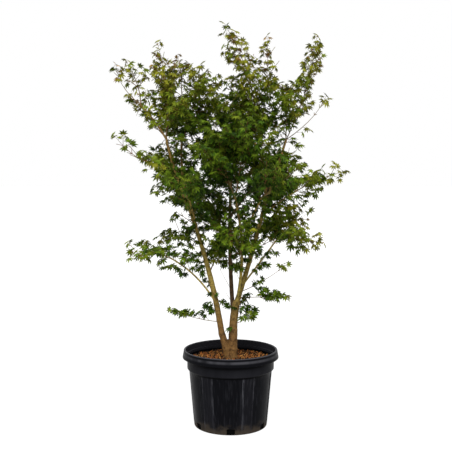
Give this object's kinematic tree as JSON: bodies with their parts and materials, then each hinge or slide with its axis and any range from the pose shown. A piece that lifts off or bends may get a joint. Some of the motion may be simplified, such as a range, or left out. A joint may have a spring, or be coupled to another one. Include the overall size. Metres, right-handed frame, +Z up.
{
  "type": "potted maple shrub",
  "caption": "Young multi-stemmed Japanese maple with open, layered foliage, growing in a round black fluted nursery pot.",
  "frame": {"origin": "centre of the pot's flat underside, on the surface that it stands on", "axes": "+Z up along the pot's axis; the front of the plant, as it is usually looked at, faces -Y, and +X is to the right from there"},
  "size_m": [1.2612, 1.1034, 2.0953],
  "materials": {
    "plastic": "satin black moulded plastic",
    "mulch": "reddish-brown bark mulch over moist soil",
    "trunk_bark": "smooth tan-brown bark",
    "stem_bark": "thin olive-green bark",
    "foliage": "thin deep-green leaves, lighter and bronze at the tips"
  },
  "bodies": {
    "root": {"back_left": "foliage", "back_left_bough": "stem_bark", "back_left_low": "foliage", "back_right": "foliage", "back_right_bough": "stem_bark", "back_right_low": "foliage", "back_upper": "foliage", "centre_front": "foliage", "centre_low": "foliage", "centre_stem": "stem_bark", "centre_upper": "foliage", "far_left": "foliage", "far_left_bough": "stem_bark", "front_left": "foliage", "front_left_bough": "stem_bark", "front_low": "foliage", "front_right": "foliage", "front_right_bough": "stem_bark", "front_stem": "stem_bark", "front_upper": "foliage", "heart_left": "foliage", "leader": "foliage", "left_inner_bough": "stem_bark", "left_low_shoulder": "foliage", "left_outer_bough": "stem_bark", "left_shoulder": "foliage", "left_stem": "stem_bark", "left_wing": "foliage", "left_wing_bough": "stem_bark", "low_left": "foliage", "low_left_bough": "stem_bark", "low_right": "foliage", "low_right_bough": "stem_bark", "low_right_wing": "foliage", "lower_left_inner": "foliage", "lower_left_wing": "foliage", "lower_right_back": "foliage", "lower_right_shoulder": "foliage", "lower_right_wing": "foliage", "pot": "plastic", "right_inner_bough": "stem_bark", "right_leader": "foliage", "right_low": "foliage", "right_outer_bough": "stem_bark", "right_shoot": "foliage", "right_shoulder": "foliage", "right_spire": "foliage", "right_stem": "stem_bark", "right_upper_stem": "stem_bark", "right_wing": "foliage", "right_wing_bough": "stem_bark", "soil": "mulch", "trunk": "trunk_bark", "upper_centre_left": "foliage", "upper_left_back": "foliage", "upper_left_inner": "foliage", "upper_left_mid": "foliage", "upper_left_tall": "foliage", "upper_right": "foliage"}
  },
  "joints": []
}
